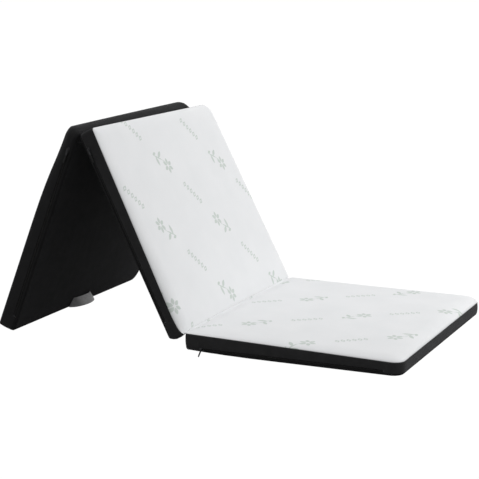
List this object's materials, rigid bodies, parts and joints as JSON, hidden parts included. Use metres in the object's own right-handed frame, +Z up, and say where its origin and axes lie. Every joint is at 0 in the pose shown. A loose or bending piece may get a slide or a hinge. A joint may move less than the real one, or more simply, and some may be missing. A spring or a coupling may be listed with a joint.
{
  "type": "folding mattress",
  "caption": "Folding foam mattress with a white knit top, dark borders, hinged panels, zips and a carry handle, half unfolded as a tent.",
  "frame": {"origin": "middle of the first panel's underside, on the floor", "axes": "+X along the flat panel away from its fold, +Y to the far side, +Z up"},
  "size_m": [1.2487, 0.8283, 0.6172],
  "materials": {
    "white_knit": "soft jacquard knit, white",
    "dark_fabric": "matte brushed polyester, black",
    "foam": "open-cell polyurethane foam, cream",
    "zip_tape": "woven polyester tape, black",
    "zip_coil": "nylon coil, black",
    "zip_metal": "dark plated metal, satin",
    "pull_tail": "woven polyester strip, black",
    "webbing": "woven webbing, grey"
  },
  "bodies": {
    "panel_a": {"foam_core_a": "foam", "knit_top_a": "white_knit", "side_border_a": "dark_fabric", "underside_a": "dark_fabric", "zip_tape_upper_a": "zip_tape", "zip_tape_lower_a": "zip_tape", "zip_coil_a": "zip_coil", "zip_stop_low_a": "zip_metal", "zip_stop_high_a": "zip_metal", "fold_tape_white_a": "white_knit"},
    "slider_a": {"zip_slider_a": "zip_metal"},
    "pull_a": {"zip_pull_a": "zip_metal", "pull_tail_a": "pull_tail"},
    "panel_b": {"foam_core_b": "foam", "knit_top_b": "white_knit", "side_border_b": "dark_fabric", "underside_b": "dark_fabric", "zip_tape_upper_b": "zip_tape", "zip_tape_lower_b": "zip_tape", "zip_coil_b": "zip_coil", "zip_stop_low_b": "zip_metal", "zip_stop_high_b": "zip_metal", "fold_tape_white_b": "white_knit", "fold_tape_black_b": "dark_fabric"},
    "slider_b": {"zip_slider_b": "zip_metal"},
    "pull_b": {"zip_pull_b": "zip_metal", "pull_tail_b": "pull_tail"},
    "panel_c": {"foam_core_c": "foam", "knit_top_c": "white_knit", "side_border_c": "dark_fabric", "underside_c": "dark_fabric", "zip_tape_upper_c": "zip_tape", "zip_tape_lower_c": "zip_tape", "zip_coil_c": "zip_coil", "zip_stop_low_c": "zip_metal", "zip_stop_high_c": "zip_metal", "fold_tape_black_c": "dark_fabric"},
    "slider_c": {"zip_slider_c": "zip_metal"},
    "pull_c": {"zip_pull_c": "zip_metal", "pull_tail_c": "pull_tail"},
    "handle": {"carry_handle": "webbing"}
  },
  "joints": [
    {"name": "fold_white", "type": "hinge", "parent": "panel_a", "child": "panel_b", "pos_m": [-0.3175, 0, 0.0578], "axis": [0, 1, 0], "range_deg": [-62.45, 117.55]},
    {"name": "fold_black", "type": "hinge", "parent": "panel_b", "child": "panel_c", "pos_m": [-0.66356, 0, 0.59348], "axis": [0, -1, 0], "range_deg": [-132.3, 44.7]},
    {"name": "zip_slide_a", "type": "slide", "parent": "panel_a", "child": "slider_a", "axis": [1, 0, 0], "range_m": [0, 0.525]},
    {"name": "zip_swing_a", "type": "hinge", "parent": "slider_a", "child": "pull_a", "pos_m": [-0.26195, -0.3969, 0.0126], "axis": [0, 0, 1], "range_deg": [-98, 78]},
    {"name": "zip_slide_b", "type": "slide", "parent": "panel_b", "child": "slider_b", "axis": [0.4622, -0.0378, -0.886], "range_m": [0, 0.5245]},
    {"name": "zip_swing_b", "type": "hinge", "parent": "slider_b", "child": "pull_b", "pos_m": [-0.62599, -0.37497, 0.55142], "axis": [0.8866, 0, 0.4625], "range_deg": [-176, 0]},
    {"name": "zip_slide_c", "type": "slide", "parent": "panel_c", "child": "slider_c", "axis": [-0.344, -0.0378, -0.9382], "range_m": [0, 0.5255]},
    {"name": "zip_swing_c", "type": "hinge", "parent": "slider_c", "child": "pull_c", "pos_m": [-0.69538, -0.37497, 0.54692], "axis": [-0.9389, 0, 0.3443], "range_deg": [0, 176]},
    {"name": "handle_swing", "type": "hinge", "parent": "panel_c", "child": "handle", "pos_m": [-0.88252, 0, 0.0006], "axis": [0, 1, 0], "range_deg": [0, 150]}
  ]
}
